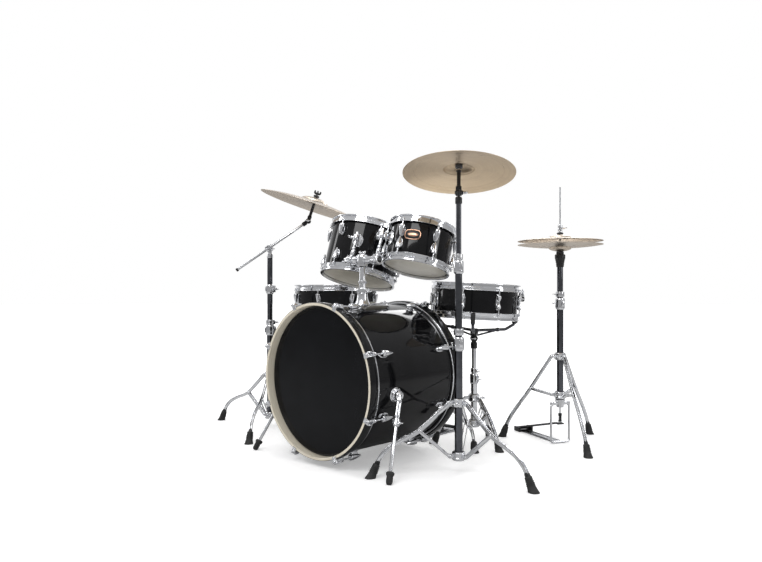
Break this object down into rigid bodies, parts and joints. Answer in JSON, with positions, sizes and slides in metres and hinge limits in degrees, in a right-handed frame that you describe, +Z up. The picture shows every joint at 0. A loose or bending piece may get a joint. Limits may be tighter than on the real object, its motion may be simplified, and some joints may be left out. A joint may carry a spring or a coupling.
{
  "type": "acoustic drum kit",
  "caption": "Acoustic drum kit with bass drum, rack toms, floor tom, snare, hi-hat, crash and boom ride cymbals on folding and tilting stands.",
  "frame": {"origin": "on the floor, under the middle of the whole set-up kit", "axes": "+Z up, -Y towards the audience (front of the bass drum), +X to the audience right where the crash and hi-hat stand"},
  "size_m": [1.8361, 1.2621, 1.1447],
  "materials": {
    "black_lacquer": "deep gloss wrap over the wooden shells",
    "hoop_lacquer": "gloss black lacquer, bare maple edges",
    "drum_film": "cream polyester film",
    "black_film": "gloss black polyester film",
    "chrome_plate": "bright chrome plate",
    "bronze": "lathed cast bronze",
    "black_casting": "black powder coat",
    "felt_white": "pressed felt"
  },
  "bodies": {
    "set_up": {"bass_shell": "black_lacquer", "bass_hoops": "hoop_lacquer", "bass_heads": "black_film", "bass_lugs": "chrome_plate", "bass_claws": "chrome_plate", "bass_brackets": "chrome_plate", "floor_tom_legs": "chrome_plate", "snare_tripod": "chrome_plate", "crash_base": "chrome_plate", "ride_tripod": "chrome_plate", "hihat_tripod": "chrome_plate", "pedal_frame": "chrome_plate"},
    "spur_right": {"spur_right": "chrome_plate"},
    "spur_left": {"spur_left": "chrome_plate"},
    "tom_holder": {"tom_post": "chrome_plate"},
    "tom_arm_right": {"tom_arm_right": "chrome_plate"},
    "tom_arm_left": {"tom_arm_left": "chrome_plate"},
    "high_tom": {"high_tom_shell": "black_lacquer", "high_tom_heads": "drum_film", "high_tom_hoops": "chrome_plate", "high_tom_lugs": "chrome_plate"},
    "mid_tom": {"mid_tom_shell": "black_lacquer", "mid_tom_heads": "drum_film", "mid_tom_hoops": "chrome_plate", "mid_tom_lugs": "chrome_plate"},
    "floor_tom": {"floor_tom_shell": "black_lacquer", "floor_tom_heads": "drum_film", "floor_tom_hoops": "chrome_plate", "floor_tom_lugs": "chrome_plate"},
    "snare_tube": {"snare_tube": "chrome_plate"},
    "snare_drum": {"snare_basket": "black_casting", "snare_shell": "black_lacquer", "snare_heads": "drum_film", "snare_hoops": "chrome_plate", "snare_lugs": "chrome_plate", "snare_wires": "chrome_plate"},
    "snare_lever": {"snare_throw_lever": "chrome_plate"},
    "crash_collar": {"crash_collar": "chrome_plate"},
    "crash_leg_1": {"crash_leg_1": "chrome_plate"},
    "crash_leg_2": {"crash_leg_2": "chrome_plate"},
    "crash_leg_3": {"crash_leg_3": "chrome_plate"},
    "crash_brace_1": {"crash_brace_1": "chrome_plate"},
    "crash_brace_2": {"crash_brace_2": "chrome_plate"},
    "crash_brace_3": {"crash_brace_3": "chrome_plate"},
    "crash_mid_tube": {"crash_mid_tube": "chrome_plate"},
    "crash_top_tube": {"crash_top_tube": "chrome_plate"},
    "crash_tilter": {"crash_tilter": "black_casting"},
    "crash_cymbal": {"crash_cymbal": "bronze"},
    "ride_tube": {"ride_tube": "chrome_plate"},
    "ride_boom_clamp": {"ride_boom_clamp": "chrome_plate"},
    "ride_boom": {"ride_boom": "chrome_plate"},
    "ride_tilter": {"ride_tilter": "black_casting"},
    "ride_cymbal": {"ride_cymbal": "bronze"},
    "hihat_footboard": {"hihat_footboard": "black_casting"},
    "hihat_rod": {"hihat_rod": "chrome_plate"},
    "hihat_top_cymbal": {"hihat_top_cymbal": "bronze"},
    "pedal_footboard": {"pedal_footboard": "black_casting"},
    "pedal_beater": {"pedal_beater": "felt_white"},
    "hihat_tube": {"hihat_tube": "chrome_plate", "hihat_bottom_cymbal": "bronze"}
  },
  "joints": [
    {"name": "spur_right_fold", "type": "hinge", "parent": "set_up", "child": "spur_right", "pos_m": [0.429, -0.484, 0.276], "axis": [0.9917, 0, -0.1289], "range_deg": [-60, 0]},
    {"name": "spur_left_fold", "type": "hinge", "parent": "set_up", "child": "spur_left", "pos_m": [-0.171, -0.484, 0.276], "axis": [-0.9917, 0, -0.1289], "range_deg": [0, 60]},
    {"name": "tom_post_height", "type": "slide", "parent": "set_up", "child": "tom_holder", "axis": [0, 0, 1], "range_m": [-0.015, 0.035]},
    {"name": "high_tom_tilt", "type": "hinge", "parent": "tom_holder", "child": "tom_arm_right", "pos_m": [0.129, -0.3688, 0.774], "axis": [1, 0, 0], "range_deg": [-5, 17]},
    {"name": "mid_tom_tilt", "type": "hinge", "parent": "tom_holder", "child": "tom_arm_left", "pos_m": [0.129, -0.3688, 0.774], "axis": [1, 0, 0], "range_deg": [-5, 12]},
    {"name": "high_tom_swivel", "type": "hinge", "parent": "tom_arm_right", "child": "high_tom", "pos_m": [0.20999, -0.34153, 0.8676], "axis": [0, 0.2924, 0.9563], "range_deg": [-20, 0]},
    {"name": "mid_tom_swivel", "type": "hinge", "parent": "tom_arm_left", "child": "mid_tom", "pos_m": [0.06473, -0.34192, 0.85775], "axis": [0, 0.2924, 0.9563], "range_deg": [0, 8]},
    {"name": "floor_tom_height", "type": "slide", "parent": "set_up", "child": "floor_tom", "axis": [0, 0, 1], "range_m": [-0.06, 0.05]},
    {"name": "snare_height", "type": "slide", "parent": "set_up", "child": "snare_tube", "axis": [0, 0, 1], "range_m": [-0.003, 0.015]},
    {"name": "snare_tilt", "type": "hinge", "parent": "snare_tube", "child": "snare_drum", "pos_m": [0.341, 0.092, 0.449], "axis": [-0.6849, 0.7286, 0], "range_deg": [-6, 8]},
    {"name": "snare_throw_off", "type": "hinge", "parent": "snare_drum", "child": "snare_lever", "pos_m": [0.50607, 0.20935, 0.61511], "axis": [-0.577, 0.8167, -0.0073], "range_deg": [0, 90]},
    {"name": "crash_collar_slide", "type": "slide", "parent": "set_up", "child": "crash_collar", "axis": [0, 0, 1], "range_m": [0, 0.1]},
    {"name": "crash_leg_1_fold", "type": "hinge", "parent": "crash_collar", "child": "crash_leg_1", "pos_m": [0.55851, -0.3636, 0.252], "axis": [0.8221, -0.5693, 0], "range_deg": [0, 42.4]},
    {"name": "crash_leg_2_fold", "type": "hinge", "parent": "crash_collar", "child": "crash_leg_2", "pos_m": [0.61488, -0.33695, 0.252], "axis": [0.0819, 0.9966, 0], "range_deg": [0, 42.4]},
    {"name": "crash_leg_3_fold", "type": "hinge", "parent": "crash_collar", "child": "crash_leg_3", "pos_m": [0.56361, -0.30145, 0.252], "axis": [-0.9041, -0.4274, 0], "range_deg": [0, 42.4]},
    {"name": "crash_brace_1_fold", "type": "hinge", "parent": "crash_leg_1", "child": "crash_brace_1", "pos_m": [0.49532, -0.45486, 0.157], "axis": [0.8221, -0.5693, 0], "range_deg": [-84.8, 0]},
    {"name": "crash_brace_2_fold", "type": "hinge", "parent": "crash_leg_2", "child": "crash_brace_2", "pos_m": [0.72551, -0.34604, 0.157], "axis": [0.0819, 0.9966, 0], "range_deg": [-84.8, 0]},
    {"name": "crash_brace_3_fold", "type": "hinge", "parent": "crash_leg_3", "child": "crash_brace_3", "pos_m": [0.51618, -0.2011, 0.157], "axis": [-0.9041, -0.4274, 0], "range_deg": [-84.8, 0]},
    {"name": "crash_lower_height", "type": "slide", "parent": "set_up", "child": "crash_mid_tube", "axis": [0, 0, 1], "range_m": [-0.005, 0.15]},
    {"name": "crash_upper_height", "type": "slide", "parent": "crash_mid_tube", "child": "crash_top_tube", "axis": [0, 0, 1], "range_m": [0, 0.12]},
    {"name": "crash_tilt", "type": "hinge", "parent": "crash_top_tube", "child": "crash_tilter", "pos_m": [0.579, -0.334, 1.00174], "axis": [-0.8281, -0.5606, 0], "range_deg": [-30, 30]},
    {"name": "crash_sway", "type": "hinge", "parent": "crash_tilter", "child": "crash_cymbal", "pos_m": [0.56581, -0.31452, 1.10612], "axis": [-0.8281, -0.5606, 0], "range_deg": [-8, 8], "stiffness_Nm_per_rad": 4},
    {"name": "ride_height", "type": "slide", "parent": "set_up", "child": "ride_tube", "axis": [0, 0, 1], "range_m": [0, 0.15]},
    {"name": "ride_boom_tilt", "type": "hinge", "parent": "ride_tube", "child": "ride_boom_clamp", "pos_m": [-0.561, -0.296, 0.852], "axis": [-0.6849, 0.7286, 0], "range_deg": [-20, 7]},
    {"name": "ride_boom_reach", "type": "slide", "parent": "ride_boom_clamp", "child": "ride_boom", "axis": [0.6012, 0.5651, 0.565], "range_m": [-0.05, 0.08]},
    {"name": "ride_tilt", "type": "hinge", "parent": "ride_boom", "child": "ride_tilter", "pos_m": [-0.4099, -0.18689, 0.97855], "axis": [-0.6849, 0.7286, 0], "range_deg": [-25, 12]},
    {"name": "ride_sway", "type": "hinge", "parent": "ride_tilter", "child": "ride_cymbal", "pos_m": [-0.38395, -0.16251, 1.08685], "axis": [-0.6849, 0.7286, 0], "range_deg": [-8, 8], "stiffness_Nm_per_rad": 6},
    {"name": "hihat_height", "type": "slide", "parent": "set_up", "child": "hihat_tube", "axis": [0, 0, 1], "range_m": [-0.004, 0.008]},
    {"name": "hihat_pedal", "type": "hinge", "parent": "set_up", "child": "hihat_footboard", "pos_m": [0.34017, 0.47556, 0.014], "axis": [-0.4226, -0.9063, 0], "range_deg": [-2.5, 0], "stiffness_Nm_per_rad": 30},
    {"name": "hihat_rod_pull", "type": "slide", "parent": "set_up", "child": "hihat_rod", "axis": [0, 0, 1], "range_m": [-0.0125, 0]},
    {"name": "hihat_clutch_slide", "type": "slide", "parent": "hihat_rod", "child": "hihat_top_cymbal", "axis": [0, 0, 1], "range_m": [0, 0.09]},
    {"name": "bass_pedal", "type": "hinge", "parent": "set_up", "child": "pedal_footboard", "pos_m": [0.087, 0.2475, 0.018], "axis": [1, 0, 0], "range_deg": [0, 12], "stiffness_Nm_per_rad": 10},
    {"name": "bass_beater", "type": "hinge", "parent": "set_up", "child": "pedal_beater", "pos_m": [0.087, -0.0805, 0.168], "axis": [1, 0, 0], "range_deg": [0, 45]}
  ],
  "couplings": [
    {"joint": "crash_leg_1_fold", "follows": "crash_collar_slide", "rad_per_m": 7.3997},
    {"joint": "crash_brace_1_fold", "follows": "crash_collar_slide", "rad_per_m": -14.799},
    {"joint": "crash_leg_2_fold", "follows": "crash_collar_slide", "rad_per_m": 7.3997},
    {"joint": "crash_brace_2_fold", "follows": "crash_collar_slide", "rad_per_m": -14.799},
    {"joint": "crash_leg_3_fold", "follows": "crash_collar_slide", "rad_per_m": 7.3997},
    {"joint": "crash_brace_3_fold", "follows": "crash_collar_slide", "rad_per_m": -14.799},
    {"joint": "hihat_rod_pull", "follows": "hihat_pedal", "m_per_rad": 0.285},
    {"joint": "bass_beater", "follows": "bass_pedal", "ratio": 3.75}
  ]
}
